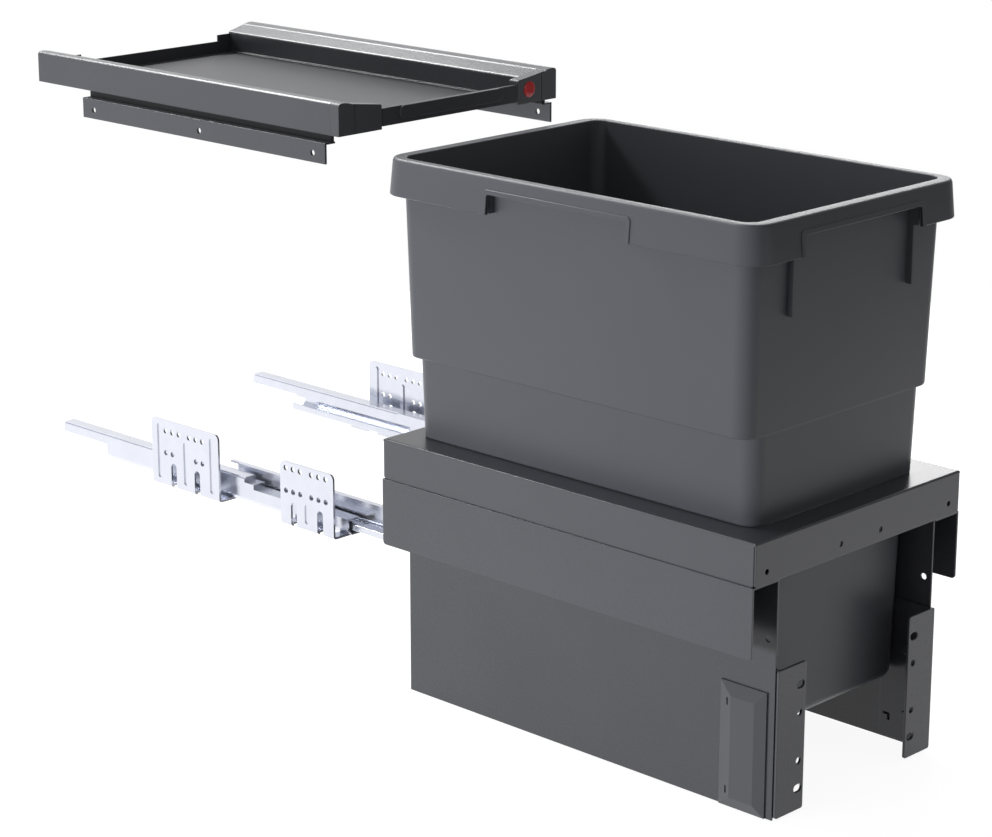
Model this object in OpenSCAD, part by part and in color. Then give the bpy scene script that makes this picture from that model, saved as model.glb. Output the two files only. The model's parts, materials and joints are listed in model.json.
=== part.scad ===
// Pull-out frame for a waste bin: a sheet-metal frame on two ball-bearing slides,
// a loose bin that stands in it, and a sliding shelf that covers the bin in the cabinet.
// The origin lies midway between the cabinet's side walls, on the cabinet's front edge,
// at the lower row of bracket holes. +X is right seen from the front, +Y goes into the
// cabinet and +Z is up. The frame is drawn fully pulled out.

/* [Cabinet] */
// Clear width between the cabinet's side walls
cabinet_w = 271; // [262:1:420]
// Pitch of the rows of holes in the cabinet's sides
row_pitch = 32; // [30:1:34]
// Distance of the first hole of a row from the cabinet's front edge
row_setback = 37; // [34:1:40]
// Height of the upper row of bracket holes over the lower row
row_rise = 20.3; // [18:0.1:22]

/* [Travel] */
// How far the frame pulls out
travel = 442; // [300:1:446]

/* [Frame] */
// Depth of the frame
frame_d = 395; // [380:1:430]
// Height of the frame's top sheet over the lower row of holes
frame_top = 68.5; // [66:0.5:72]
// Height of the frame, from its top sheet to the panels' lower edge
frame_h = 230; // [200:1:300]
// Sheet thickness of the frame
sheet_t = 1.5; // [1:0.1:2]
// Height of the apron round the top sheet
apron_h = 34.4; // [30:0.1:36]
// Gap between the apron and the cabinet wall
apron_gap = 7; // [6.8:0.1:9]
// Gap between the side band and the cabinet wall
band_gap = 5.7; // [5.4:0.1:6]
// Height of the side band under the apron
band_h = 57; // [50:1:58]
// Distance of the side panels' outer faces from the cabinet wall
panel_inset = 36.5; // [36:0.1:38]
// Diameter of the holes in the apron
apron_hole_d = 4.5; // [3:0.1:6]

/* [Front angles] */
// Sheet thickness of the front angles
angle_t = 2; // [1.5:0.1:2.5]
// Width of the front angles' faces
angle_face_w = 33.3; // [28:0.1:36]
// Depth of the front angles' legs
angle_leg_d = 48; // [40:1:60]
// Height of the front angles
angle_h = 120.6; // [110:0.1:130]
// Length of the fixing slots
fix_slot_l = 9.8; // [8:0.1:12]
// Width of the fixing slots
fix_slot_w = 6.5; // [4:0.1:7]
// Distance between the two fixing slots of an angle
fix_slot_pitch = 85.5; // [80:0.1:90]
// Diameter of the round fixing holes
fix_hole_d = 5.8; // [4:0.1:6.5]
// Distance between the two round fixing holes of an angle
fix_hole_pitch = 40; // [36:0.1:44]
// Up and down adjustment of the front angles
adjust = 2.5; // [1:0.1:3]

/* [Slides] */
// Length of the cabinet rails
cabinet_rail_l = 324; // [300:1:360]
// Length of the middle rails
middle_rail_l = 394; // [380:1:400]
// Sheet thickness of the rails
rail_t = 1.5; // [1.2:0.1:1.6]
// Diameter of the bearing balls
ball_d = 3; // [2.5:0.1:3.2]
// Balls in each row
ball_count = 9; // [4:1:10]
// Thickness of the bracket plates
bracket_t = 2; // [1.5:0.1:2.2]
// Diameter of the bracket holes
bracket_hole_d = 5; // [3:0.1:5.5]
// Pitch of the three holes in each group
group_pitch = 9; // [8:0.1:9.5]
// Length of the self-closing units
closer_l = 255; // [200:1:300]

/* [Bin] */
// Height of the bin's floor over the frame's top sheet, counted down
bin_drop = 172; // [120:1:190]
// Height of the bin's rim over the frame's top sheet
rim_h = 236; // [220:1:238]
// Height of the step in the bin's sides over the frame's top sheet
step_h = 71; // [50:1:100]
// Height of the skirt round the rim
skirt_h = 30; // [24:1:40]
// Wall thickness of the bin
bin_t = 2.2; // [1.6:0.1:3]
// Width of the shoulders that stand on the frame
shoulder = 10; // [8:0.1:11]
// Depth of the steps in the bin's sides
step_w = 11; // [6:0.1:12]
// Draft of the bin's walls in degrees
draft = 1.3; // [0.8:0.1:1.5]
// Corner radius of the bin
bin_r = 14; // [8:1:20]
// How far the skirt stands out at the sides
skirt_out = 9.5; // [8:0.1:10]
// How far the skirt stands out at the front and the back
skirt_out_y = 12.5; // [10:0.1:13]

/* [Cover shelf] */
// Depth of the cover shelf
cover_d = 397; // [360:1:420]
// Height of the gap between the rim and the cover's brackets
cover_gap = 2.6; // [1:0.1:6]
// Width of the shelf's side rails
cover_rail_w = 32.6; // [28:0.1:34]
// Height of the shelf's side rails
cover_rail_h = 27.3; // [24:0.1:32]
// Length of the cover's brackets and runners
cover_bracket_l = 316; // [280:1:340]
// Height of the cover brackets' wall plates
cover_bracket_h = 17.5; // [16:0.1:24]
// Distance of the outer screw holes from the ends of a cover bracket
cover_hole_end = 15; // [8:0.5:30]
// Forward travel of the cover shelf
cover_travel = 200; // [100:1:220]

/* [Hidden] */
$fn = 32;
eps = 0.01;

dark_steel = [0.27, 0.27, 0.29];
dark_plastic = [0.25, 0.25, 0.27];
zinc = [0.80, 0.81, 0.86];
black_plastic = [0.12, 0.12, 0.13];
ball_steel = [0.70, 0.71, 0.73];
red_plastic = [0.65, 0.06, 0.07];

// Distances from the symmetry plane, for the right side
wall_x = cabinet_w / 2;
plate_x = wall_x - bracket_t;
apron_x = wall_x - apron_gap;
band_x = wall_x - band_gap;
panel_x = wall_x - panel_inset;
panel_in = panel_x - sheet_t;

// Heights
frame_bottom = frame_top - frame_h;
angle_bottom = frame_bottom + 2;
apron_bottom = frame_top - apron_h;
band_bottom = apron_bottom - band_h;

// Places along the frame, measured with the frame closed
frame_front = angle_t;
frame_rear = frame_front + frame_d;
panel_front = frame_front + 1.5;

// The cabinet rail: a C that opens towards the middle, and the bead that runs in it
play = 0.05;
bead_h = 5.6;
bead_w = 10;
rail_w = 18;
rail_inner_h = bead_h + 2 * (ball_d + 2 * play);
rail_h = rail_inner_h + 2 * rail_t;
rail_outer_x = wall_x - 11.5;
rail_inner_x = rail_outer_x - rail_w;
rail_bottom = -29.3;
rail_top = rail_bottom + rail_h;
rail_mid_z = rail_bottom + rail_h / 2;
rail_front = 4.3;
rail_bevel = 5;
lip_bevel = 2;
lip_top = rail_bottom + 6.8;
bead_x = rail_inner_x + 4;

// The drawer rail: a C on the side panel that opens towards the wall
flange_gap = ball_d + 2 * play;
drawer_inner_h = rail_t + 2 * flange_gap;
drawer_top = 2.6;
drawer_flange_z = drawer_top - rail_t - flange_gap;
drawer_bottom = drawer_top - 2 * rail_t - drawer_inner_h;
drawer_wall_t = 1.3;
drawer_lower_lip = 5.5;
drawer_upper_lip = 9;
drawer_setback = 36;
drawer_end_gap = 2;
rivet_d = 4;
rivet_first = 48;
rivet_last = frame_d - 40;

// The middle rail: a web between the two Cs
web_x = panel_x + 6.5;
middle_front = 3;
foot_z = rail_mid_z - rail_t / 2 + 0.6;
flange_edge_x = panel_x + drawer_wall_t + 1.3;

// The cages
cage_t = 0.7;
cage_l = 160;
cage_closed_y = middle_front + (middle_rail_l - cage_l) / 2;
window = ball_d + 0.3;
strip_w = window + 1.1;
ball_pitch = (cage_l - 12) / (ball_count - 1);

// Brackets
bracket_flange_z = rail_bottom - bracket_t;
bracket_foot_x = rail_inner_x + 2.5;
bracket_corner_r = 5;
bracket_bend_r = 3.2;
front_bracket_l = 66.6;
rear_bracket_l = 90.7;
front_bracket_top = 26;
rear_bracket_top = 30.5;
bracket_edge = 7.2;
rear_bracket_edge = 19;

// Self-closing unit
closer_w = 13.6;
closer_h = 9;
closer_front = 136;
closer_ledge = 12;

// Bin, along the frame as seen from its front
bin_setback = 24;
bin_rear_gap = 16;
bin_y0 = frame_front + bin_setback;
bin_y1 = frame_rear - bin_rear_gap;
bin_lower_x = panel_in - 4;
bin_mid_x = bin_lower_x + shoulder;
bin_upper_x = bin_mid_x + step_h * tan(draft) + step_w;
bin_floor = frame_top - bin_drop;
step_z = frame_top + step_h;
rim_z = frame_top + rim_h;
skirt_z = rim_z - skirt_h;
bin_top_x = bin_upper_x + (rim_h - step_h) * tan(draft);
bin_top_grow = rim_h * tan(draft);
skirt_x = bin_top_x + skirt_out;
skirt_taper = 2.8;
foot_r = 10;
opening_x = bin_lower_x + 1.2;
opening_gap = 1.2;

// Cover shelf
cover_z = rim_z + cover_gap;
cover_flange_t = 1.5;
runner_h = 5.3;
runner_z = cover_z + cover_flange_t;
runner_top = runner_z + runner_h;
runner_w = 4;
runner_x = band_x - 5.8;
runner_y = 12.6;
tongue_h = 5;
tongue_w = 2;
glide_play = 0.3;
glide_margin = 8;
cover_rail_x = band_x - 0.15;
cover_rail_in = cover_rail_x - cover_rail_w;
cover_front = frame_front;
cover_rear = cover_front + cover_d;
cover_low = runner_top + 0.3;
cover_high = cover_low + cover_rail_h;
tray_t = 1.5;
tray_z = cover_low + 1.9;
cap_d = 10;
rail_foot_w = 4;
rail_foot_t = 1;
lip_x = cover_rail_in - 17;
front_lip_low = tray_z + 0.5;
front_lip_top = tray_z + 15.5;
grip_x = lip_x - 19;
disc_d = 13.7;

// Draws its children for the right side, or mirrored for the left side
module side(s) {
    if (s > 0) children();
    else mirror([1, 0, 0]) children();
}

// Extrudes an outline drawn across the frame (X, Z) along Y
module along_y(y0, y1) {
    translate([0, y1, 0]) rotate([90, 0, 0]) linear_extrude(y1 - y0) children();
}

// Extrudes an outline drawn along the frame (Y, Z) along X
module along_x(x0, x1) {
    translate([x0, 0, 0]) rotate([90, 0, 90]) linear_extrude(x1 - x0) children();
}

// A rectangle with two rounded upper corners, from (a0, b0) to (a1, b1)
module round_top(a0, a1, b0, b1, r) {
    translate([a0, b0]) square([a1 - a0, b1 - b0 - r]);
    translate([a0 + r, b0]) square([a1 - a0 - 2 * r, b1 - b0]);
    for (a = [a0 + r, a1 - r]) translate([a, b1 - r]) circle(r);
}

// A rectangle with four rounded corners, from (a0, b0) to (a1, b1)
module round_rect(a0, a1, b0, b1, r) {
    translate([a0 + r, b0]) square([a1 - a0 - 2 * r, b1 - b0]);
    translate([a0, b0 + r]) square([a1 - a0, b1 - b0 - 2 * r]);
    for (a = [a0 + r, a1 - r], b = [b0 + r, b1 - r]) translate([a, b]) circle(r);
}

// A slot with round ends, from (a0, b0) to (a1, b1)
module stadium(a0, a1, b0, b1) {
    r = min(a1 - a0, b1 - b0) / 2;
    upright = b1 - b0 > a1 - a0;
    translate(upright ? [a0, b0 + r] : [a0 + r, b0])
        square(upright ? [2 * r, b1 - b0 - 2 * r] : [a1 - a0 - 2 * r, 2 * r]);
    translate([a0 + r, b0 + r]) circle(r);
    translate([a1 - r, b1 - r]) circle(r);
}

// A rectangle with its lower outer corner rounded, from (a0, b0) to (a1, b1)
module bend_rect(a0, a1, b0, b1, r) {
    translate([a0, b0 + r]) square([a1 - a0, b1 - b0 - r]);
    translate([a0, b0]) square([a1 - a0 - r, b1 - b0]);
    translate([a1 - r, b0 + r]) circle(r);
}

// What a rounded corner leaves out, for a corner at (0, 0) that opens to the upper right
module corner_off(r) {
    difference() {
        translate([-eps, -eps]) square(r + eps);
        translate([r, r]) circle(r);
    }
}

// Bracket plates: an outline along the cabinet wall, with holes, cut-outs and beads
module bracket_plate(y0, y1, top, hole_list, cut_list, cut_top, bead_list) {
    cut_w = 7.4;
    foot_gap = 13.8;
    bead_r = 2.8;
    bead_edge = 0.6;
    bead_proud = 1.2;
    groove_r = 2.3;
    groove = 1;
    bead_low = bracket_flange_z + 5.8;
    r = bracket_bend_r;
    t = bracket_t;
    difference() {
        union() {
            // The plate and the foot that turns in under the cabinet rail
            intersection() {
                along_y(y0, y1) difference() {
                    bend_rect(bracket_foot_x, wall_x, bracket_flange_z, top, r);
                    bend_rect(bracket_foot_x - 1, plate_x, bracket_flange_z + t, top + 1, r - t);
                }
                along_x(bracket_foot_x - 1, wall_x + 1)
                    round_top(y0, y1, bracket_flange_z - 1, top, bracket_corner_r);
            }
            for (b = bead_list) {
                along_x(plate_x - bead_edge, plate_x + eps)
                    stadium(b[0] - bead_r, b[0] + bead_r, bead_low, b[1]);
                along_x(plate_x - bead_proud, plate_x + eps)
                    stadium(b[0] - bead_r + bead_edge, b[0] + bead_r - bead_edge,
                        bead_low + bead_edge, b[1] - bead_edge);
            }
        }
        for (h = hole_list)
            translate([plate_x - 3, h[0], h[1]]) rotate([0, 90, 0])
                cylinder(d = bracket_hole_d, h = t + 6);
        for (c = cut_list) {
            along_x(bracket_foot_x - 1, wall_x + 1)
                stadium(c - cut_w / 2, c + cut_w / 2, bracket_flange_z - cut_w, cut_top);
            translate([bracket_foot_x - 1, c - foot_gap / 2, bracket_flange_z - 1])
                cube([wall_x - r - bracket_foot_x + 1, foot_gap, t + 2]);
        }
        for (b = bead_list)
            along_x(wall_x - groove, wall_x + 1)
                stadium(b[0] - groove_r, b[0] + groove_r, bead_low + bead_r - groove_r, b[1] - bead_r + groove_r);
    }
}

module front_bracket(s) {
    last_hole = row_setback + row_pitch;
    y1 = last_hole + bracket_edge;
    y0 = y1 - front_bracket_l;
    holes = [for (g = [0, 1], i = [0, 1, 2], z = [0, row_rise])
        [last_hole - g * row_pitch - i * group_pitch, z]];
    middle = (y0 + y1) / 2;
    cut_spread = 16.5;
    color(zinc) side(s)
        bracket_plate(y0, y1, front_bracket_top, holes,
            [middle - cut_spread, middle + cut_spread], -9.5, [[middle + 0.6, -7.2]]);
}

module rear_bracket(s) {
    last_hole = row_setback + 6 * row_pitch;
    y1 = last_hole + rear_bracket_edge;
    y0 = y1 - rear_bracket_l;
    upper = [for (g = [0, 1], i = [0, 1, 2]) [last_hole - g * row_pitch - i * group_pitch, row_rise]];
    lower = [for (p = [[0, 0], [0, 1], [1, 1], [1, 2]])
        [last_hole - p[0] * row_pitch - p[1] * group_pitch, 0]];
    middle = (y0 + y1) / 2;
    cut_spread = 16;
    bead_end = 9.8;
    color(zinc) side(s)
        bracket_plate(y0, y1, rear_bracket_top, concat(upper, lower),
            [middle - cut_spread, middle + cut_spread], -8.4,
            [[y0 + bead_end, row_rise + 5.8], [middle, row_rise - 5.3], [y1 - bead_end, row_rise + 5.8]]);
}

// The cabinet rail hangs the whole slide on the brackets
module cabinet_rail(s) {
    t = rail_t;
    x0 = rail_inner_x;
    x1 = rail_outer_x;
    z0 = rail_bottom;
    z1 = rail_top;
    b = rail_bevel;
    c = lip_bevel;
    k = t * tan(22.5);
    gap = 4.8;
    color(zinc) side(s)
        along_y(rail_front, rail_front + cabinet_rail_l)
            polygon([
                [x0, z0 + c], [x0 + c, z0], [x1 - b, z0], [x1, z0 + b], [x1, z1], [x0 + gap, z1], [x0 + gap, z1 - t],
                [x1 - t, z1 - t], [x1 - t, z0 + b + k], [x1 - b - k, z0 + t],
                [x0 + c + k, z0 + t], [x0 + t, z0 + c + k], [x0 + t, lip_top], [x0, lip_top]
            ]);
}

// The middle rail: a bead in the cabinet rail, a web, and a flange in the drawer rail
module middle_rail(s) {
    t = rail_t;
    color(zinc) side(s) {
        translate([0, middle_front - travel / 2, 0]) {
            difference() {
                along_y(0, middle_rail_l) {
                    translate([web_x, foot_z]) square([t, drawer_flange_z - foot_z]);
                    translate([web_x, foot_z]) square([bead_x - web_x + 1, t]);
                    round_rect(bead_x, bead_x + bead_w, rail_mid_z - bead_h / 2, rail_mid_z + bead_h / 2, 1);
                    translate([flange_edge_x, drawer_flange_z - t])
                        square([web_x + t - flange_edge_x, t]);
                }
                // The web and the bead stop short of the flange's rear tip
                translate([web_x, middle_rail_l - 12, rail_bottom])
                    cube([rail_w, 13, drawer_top - rail_bottom]);
            }
        }
    }
}

// The drawer rail, carried by the side panel
module drawer_rail(s) {
    t = rail_t;
    x0 = panel_x;
    color(zinc) side(s)
        translate([0, -travel, 0])
            along_y(panel_front + drawer_setback, frame_rear - drawer_end_gap) {
                translate([x0, drawer_bottom]) square([drawer_wall_t, drawer_top - drawer_bottom]);
                translate([x0, drawer_top - t]) square([drawer_upper_lip, t]);
                translate([x0, drawer_bottom]) square([drawer_lower_lip, t]);
            }
}

// Places of the rivets along the frame
function rivet_places() = [for (i = [0, 0.5, 1]) frame_front + rivet_first + i * (rivet_last - rivet_first)];

// Rivets that join the drawer rail to the side panel
module rail_rivets(s) {
    head_d = 7;
    head_h = 1;
    color(zinc) side(s)
        for (y = rivet_places())
            translate([panel_in - head_h, y - travel, (drawer_top + drawer_bottom) / 2])
                rotate([0, 90, 0]) {
                    cylinder(d = head_d, h = head_h);
                    cylinder(d = rivet_d, h = head_h + sheet_t);
                }
}

// Places of the balls along a cage, from the cage's front end
function ball_places() = [for (i = [0 : ball_count - 1]) 6 + i * ball_pitch];

lower_ball_x = bead_x + bead_w / 2;
upper_ball_x = flange_edge_x + ball_d / 2;
lower_ball_z = bead_h / 2 + play + ball_d / 2;
upper_ball_z = rail_t / 2 + play + ball_d / 2;
flange_mid_z = drawer_flange_z - rail_t / 2;

// A cage: one strip in each race, with a window for each ball
module cage(ball_x, mid_z, rise) {
    for (z = [-rise, rise])
        translate([ball_x, 0, mid_z + z - cage_t / 2]) difference() {
            translate([-strip_w / 2, 0, 0]) cube([strip_w, cage_l, cage_t]);
            for (y = ball_places())
                translate([-window / 2, y - window / 2, -1]) cube([window, window, cage_t + 2]);
        }
}

module balls(ball_x, mid_z, rise) {
    for (y = ball_places(), z = [-rise, rise]) translate([ball_x, y, mid_z + z]) sphere(d = ball_d);
}

module lower_ball_cage(s) {
    color(black_plastic) side(s) translate([0, cage_closed_y - travel / 4, 0])
        cage(lower_ball_x, rail_mid_z, lower_ball_z);
}

module lower_balls(s) {
    color(ball_steel) side(s) translate([0, cage_closed_y - travel / 4, 0])
        balls(lower_ball_x, rail_mid_z, lower_ball_z);
}

module upper_ball_cage(s) {
    color(black_plastic) side(s) translate([0, cage_closed_y - 3 * travel / 4, 0])
        cage(upper_ball_x, flange_mid_z, upper_ball_z);
}

module upper_balls(s) {
    color(ball_steel) side(s) translate([0, cage_closed_y - 3 * travel / 4, 0])
        balls(upper_ball_x, flange_mid_z, upper_ball_z);
}

// The housing that pulls the frame shut and damps it, on the cabinet rail
module closing_unit(s) {
    x0 = rail_outer_x + 0.4 - closer_w;
    bevel = 1.5;
    color(zinc) side(s) {
        translate([0, 0, rail_top])
            along_y(closer_front, closer_front + closer_l) {
                translate([x0, 0]) square([closer_w, closer_h - bevel]);
                translate([x0 + bevel, 0]) square([closer_w - 2 * bevel, closer_h]);
            }
        translate([x0, closer_front - closer_ledge, rail_top])
            cube([closer_w, closer_ledge + 1, closer_h / 2]);
    }
}

// Draws its children at the frame's front, or mirrored at its rear
module apron_end(end) {
    if (end < 0) children();
    else translate([0, frame_front + frame_rear, 0]) mirror([0, 1, 0]) children();
}

// The sheet that carries the bin: a top with an opening, and an apron on all four sides
module top_frame() {
    r = sheet_t;
    t = sheet_t;
    seam = 0.2;
    seam_x = apron_x - 0.6;
    seam_h = apron_h - t - 0.5;
    corner_r = 2;
    hole_z = frame_top - 24.5;
    hole_outer = apron_x - 14;
    hole_inner = 25;
    color(dark_steel) translate([0, -travel, 0]) difference() {
        intersection() {
            along_y(frame_front, frame_rear) round_top(-apron_x, apron_x, apron_bottom, frame_top, r);
            along_x(-apron_x, apron_x) round_top(frame_front, frame_rear, apron_bottom, frame_top, r);
        }
        translate([-apron_x + sheet_t, frame_front + sheet_t, apron_bottom - 1])
            cube([2 * (apron_x - sheet_t), frame_d - 2 * sheet_t, apron_h + 1 - sheet_t]);
        translate([0, 0, frame_top - 2 * sheet_t])
            linear_extrude(3 * sheet_t)
                round_rect(-opening_x, opening_x, bin_y0 - opening_gap, bin_y1 + opening_gap, bin_r);
        // Screw holes in the front apron
        for (x = [-hole_outer, -hole_inner, hole_inner, hole_outer])
            translate([x, frame_front - 1, hole_z]) rotate([-90, 0, 0])
                cylinder(d = apron_hole_d, h = t + 2);
        for (s = [-1, 1], end = [-1, 1])
            side(s) apron_end(end) {
                // The open seam where the aprons meet
                translate([apron_x - t - 0.5, frame_front + t, apron_bottom - 1])
                    cube([t + 1, seam, seam_h + 1]);
                translate([seam_x, frame_front - 1, apron_bottom - 1])
                    cube([t, t + seam + 1, seam_h + 1]);
                // The rounded lower corners of the aprons
                along_x(apron_x - t - 0.5, apron_x + 1)
                    translate([frame_front + t + seam, apron_bottom]) corner_off(corner_r);
                along_y(frame_front - 1, frame_front + t + eps)
                    translate([seam_x, apron_bottom]) mirror([1, 0]) corner_off(corner_r);
            }
    }
}

// The band that hides the slide, hooked under the apron
module side_band(s) {
    t = sheet_t;
    y0 = frame_front + 0.65;
    hook_y0 = y0 + 35;
    hook_h = 8;
    corner_r = 3;
    color(dark_steel) side(s) translate([0, -travel, 0]) {
        along_x(band_x - t, band_x) {
            round_rect(y0, frame_rear, band_bottom, apron_bottom, corner_r);
            translate([y0, apron_bottom - 2 * corner_r]) square([frame_rear - y0, 2 * corner_r]);
        }
        translate([panel_x, y0, apron_bottom - t])
            cube([band_x - panel_x - eps, frame_rear - y0, t]);
        translate([panel_x, hook_y0, apron_bottom - hook_h])
            cube([t, frame_rear - hook_y0, hook_h]);
    }
}

// The flat panel that carries the drawer rail, the adjuster and the front angle
module side_panel(s) {
    hole_y = frame_front + 9.1;
    hole_z = frame_top - 83.7;
    hole_d = 5.5;
    rear_gap = 2;
    color(dark_steel) side(s) translate([0, -travel, 0]) difference() {
        union() {
            // The panel's rear edge steps in above the apron's lower edge
            along_x(panel_in, panel_x)
                polygon([
                    [panel_front, frame_bottom], [frame_rear, frame_bottom], [frame_rear, apron_bottom],
                    [frame_rear - sheet_t, apron_bottom], [frame_rear - sheet_t, frame_top - sheet_t],
                    [panel_front, frame_top - sheet_t]
                ]);
            // The flange under the top sheet
            translate([panel_x - eps, panel_front, frame_top - 2 * sheet_t])
                cube([apron_x - sheet_t - panel_x, frame_rear - rear_gap - panel_front, sheet_t]);
        }
        translate([panel_in - 1, hole_y, hole_z]) rotate([0, 90, 0])
            cylinder(d = hole_d, h = sheet_t + 2);
        for (z = clamp_heights())
            translate([panel_in - 1, clamp_y, z]) rotate([0, 90, 0]) cylinder(d = clamp_d, h = sheet_t + 2);
        for (y = rivet_places())
            translate([panel_in - 1, y, (drawer_top + drawer_bottom) / 2])
                rotate([0, 90, 0]) cylinder(d = rivet_d, h = sheet_t + 2);
    }
}

// The clamp screws hold the angle's leg against the panel
clamp_d = 4;
clamp_play = 0.3;
leg_gap = 0.05;
clamp_y = frame_front + 20;
function clamp_heights() = [angle_bottom + 22, angle_bottom + 80];

module clamp_screws(s) {
    head_d = 9;
    head_h = 2;
    color(zinc) side(s) translate([0, -travel, 0])
        for (z = clamp_heights())
            translate([panel_in - angle_t - head_h - leg_gap, clamp_y, z]) rotate([0, 90, 0]) {
                cylinder(d = head_d, h = head_h);
                cylinder(d = clamp_d, h = head_h + angle_t + leg_gap + sheet_t);
            }
}

// The L-shaped angle that the cabinet's front is screwed to
module front_angle(s) {
    z0 = angle_bottom;
    z1 = angle_bottom + angle_h;
    leg_x = panel_in - leg_gap;
    face_x = panel_x - angle_face_w;
    slot_x = panel_x - 26.7;
    slot_mid = z0 + 60.6;
    corner_r = 2;
    hook_w = 2;
    hook_y = angle_leg_d - 11;
    hook_z = z0 + 14.5;
    color(dark_steel) side(s) translate([0, -travel, 0]) difference() {
        union() {
            along_y(0, angle_t) round_rect(face_x, panel_x, z0, z1, corner_r);
            translate([leg_x - angle_t, 0, z0]) cube([angle_t, angle_leg_d, z1 - z0]);
        }
        // Horizontal slots and round holes for the front's screws
        for (k = [-1, 1]) {
            translate([slot_x, -1, slot_mid + k * fix_slot_pitch / 2]) rotate([-90, 0, 0])
                linear_extrude(angle_t + 2)
                    stadium(-fix_slot_l / 2, fix_slot_l / 2, -fix_slot_w / 2, fix_slot_w / 2);
            translate([slot_x, -1, slot_mid + k * fix_hole_pitch / 2]) rotate([-90, 0, 0])
                cylinder(d = fix_hole_d, h = angle_t + 2);
        }
        // Upright slots in the leg for the clamp screws
        for (z = clamp_heights())
            along_x(leg_x - angle_t - 1, leg_x + 1)
                stadium(clamp_y - clamp_d / 2 - clamp_play, clamp_y + clamp_d / 2 + clamp_play,
                    z - adjust - clamp_d / 2 - clamp_play, z + adjust + clamp_d / 2 + clamp_play);
        // The hooked slot low in the leg, near its rear edge
        translate([leg_x - angle_t - 1, hook_y, hook_z + 4.5]) cube([angle_t + 2, 7, hook_w]);
        translate([leg_x - angle_t - 1, hook_y, hook_z]) cube([angle_t + 2, hook_w + 0.5, 5]);
    }
}

// The bevelled cap over the adjuster on each panel
module adjuster_cover(s) {
    y0 = frame_front + 8;
    depth = 45;
    height = 102.8;
    proud = 6;
    rim = 1.5;
    end_bevel = 9.6;
    front_bevel = 8.5;
    rear_bevel = 13.5;
    z0 = frame_bottom;
    slot_y = y0 + depth - 10;
    slot_h = 6;
    slot_inset = 15;
    color(dark_plastic) side(s) translate([panel_x, -travel, 0]) difference() {
        hull() {
            translate([0, y0, z0]) cube([rim, depth, height]);
            translate([rim, y0 + front_bevel, z0 + end_bevel])
                cube([proud - rim, depth - front_bevel - rear_bevel, height - 2 * end_bevel]);
        }
        for (z = [z0 + slot_inset, z0 + height - slot_inset])
            translate([proud / 2, slot_y, z - slot_h / 2]) cube([proud, 2, slot_h]);
    }
}

// A rounded rectangle of the bin at one height, grown by g on all sides
module bin_loop(x, y0, y1, r, z) {
    translate([0, 0, z]) linear_extrude(eps) round_rect(-x, x, y0, y1, r);
}

// A tapered stretch of the bin between two heights
module bin_stage(x0, z0, x1, z1, inset, low_r) {
    g0 = (z0 - frame_top) * tan(draft);
    g1 = (z1 - frame_top) * tan(draft);
    hull() {
        for (a = low_r > 0 ? [0 : 30 : 90] : [90])
            bin_loop(x0 - inset - low_r * (1 - sin(a)), bin_y0 - g0 + inset + low_r * (1 - sin(a)),
                bin_y1 + g0 - inset - low_r * (1 - sin(a)), bin_r - inset, z0 + low_r * (1 - cos(a)));
        bin_loop(x1 - inset, bin_y0 - g1 + inset, bin_y1 + g1 - inset, bin_r - inset, z1 - eps);
    }
}

module bin_body(inset, extra) {
    low_x = bin_lower_x - bin_drop * tan(draft) / 2;
    bin_stage(low_x, bin_floor + inset, bin_lower_x, frame_top + inset, inset, foot_r);
    bin_stage(bin_mid_x, frame_top + inset, bin_mid_x + step_h * tan(draft), step_z + inset, inset, 0);
    bin_stage(bin_upper_x, step_z + inset, bin_top_x, rim_z + extra, inset, 0);
}

// The outer form of the skirt, grown by g, with its slightly rounded top
module skirt_form(g, z0, top) {
    y0 = bin_y0 - bin_top_grow - skirt_out_y;
    y1 = bin_y1 + bin_top_grow + skirt_out_y;
    r = bin_r + 9;
    hull() {
        bin_loop(skirt_x + g, y0 - g, y1 + g, r + g, z0);
        bin_loop(skirt_x + g - skirt_taper, y0 - g + skirt_taper, y1 + g - skirt_taper, r + g - skirt_taper, top - 2);
        bin_loop(skirt_x + g - skirt_taper - 1, y0 - g + skirt_taper + 1, y1 + g - skirt_taper - 1,
            r + g - skirt_taper - 1, top - 0.6);
        bin_loop(skirt_x + g - skirt_taper - 2.5, y0 - g + skirt_taper + 2.5, y1 + g - skirt_taper - 2.5,
            r + g - skirt_taper - 2.5, top - eps);
    }
}

// The finger notches in the skirt: one at the front and one on each side
notch_h = 16;
notch_r = 1.5;
notch_x = 0.6 * bin_top_x;
notch_mid = (bin_y0 + bin_y1) / 2 + 2;
notch_half = 0.204 * (bin_y1 - bin_y0);
skirt_front = bin_y0 - bin_top_grow - skirt_out_y;

// The form of the notches, grown by g
module notches(g) {
    along_x(-skirt_x - 20, skirt_x + 20)
        round_top(notch_mid - notch_half - g, notch_mid + notch_half + g,
            skirt_z - 5, skirt_z + notch_h + g, notch_r + g / 2);
    along_y(skirt_front - 20, skirt_front + skirt_out_y + 6)
        round_top(-notch_x - g, notch_x + g, skirt_z - 5, skirt_z + notch_h + g, notch_r + g / 2);
}

// Cheeks that close the skirt at the ends of the notches, a little back from their edges
module notch_cheeks() {
    t = 2;
    back = 0.15;
    inset = 1.9;
    z0 = skirt_z + back;
    h = notch_h + 2;
    for (x = [-notch_x - back - t, notch_x + back])
        translate([x, skirt_front + inset, z0]) cube([t, skirt_out_y + 6, h]);
    for (y = [notch_mid - notch_half - back - t, notch_mid + notch_half + back])
        translate([-skirt_x + inset, y, z0]) cube([2 * (skirt_x - inset), t, h]);
}

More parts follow.
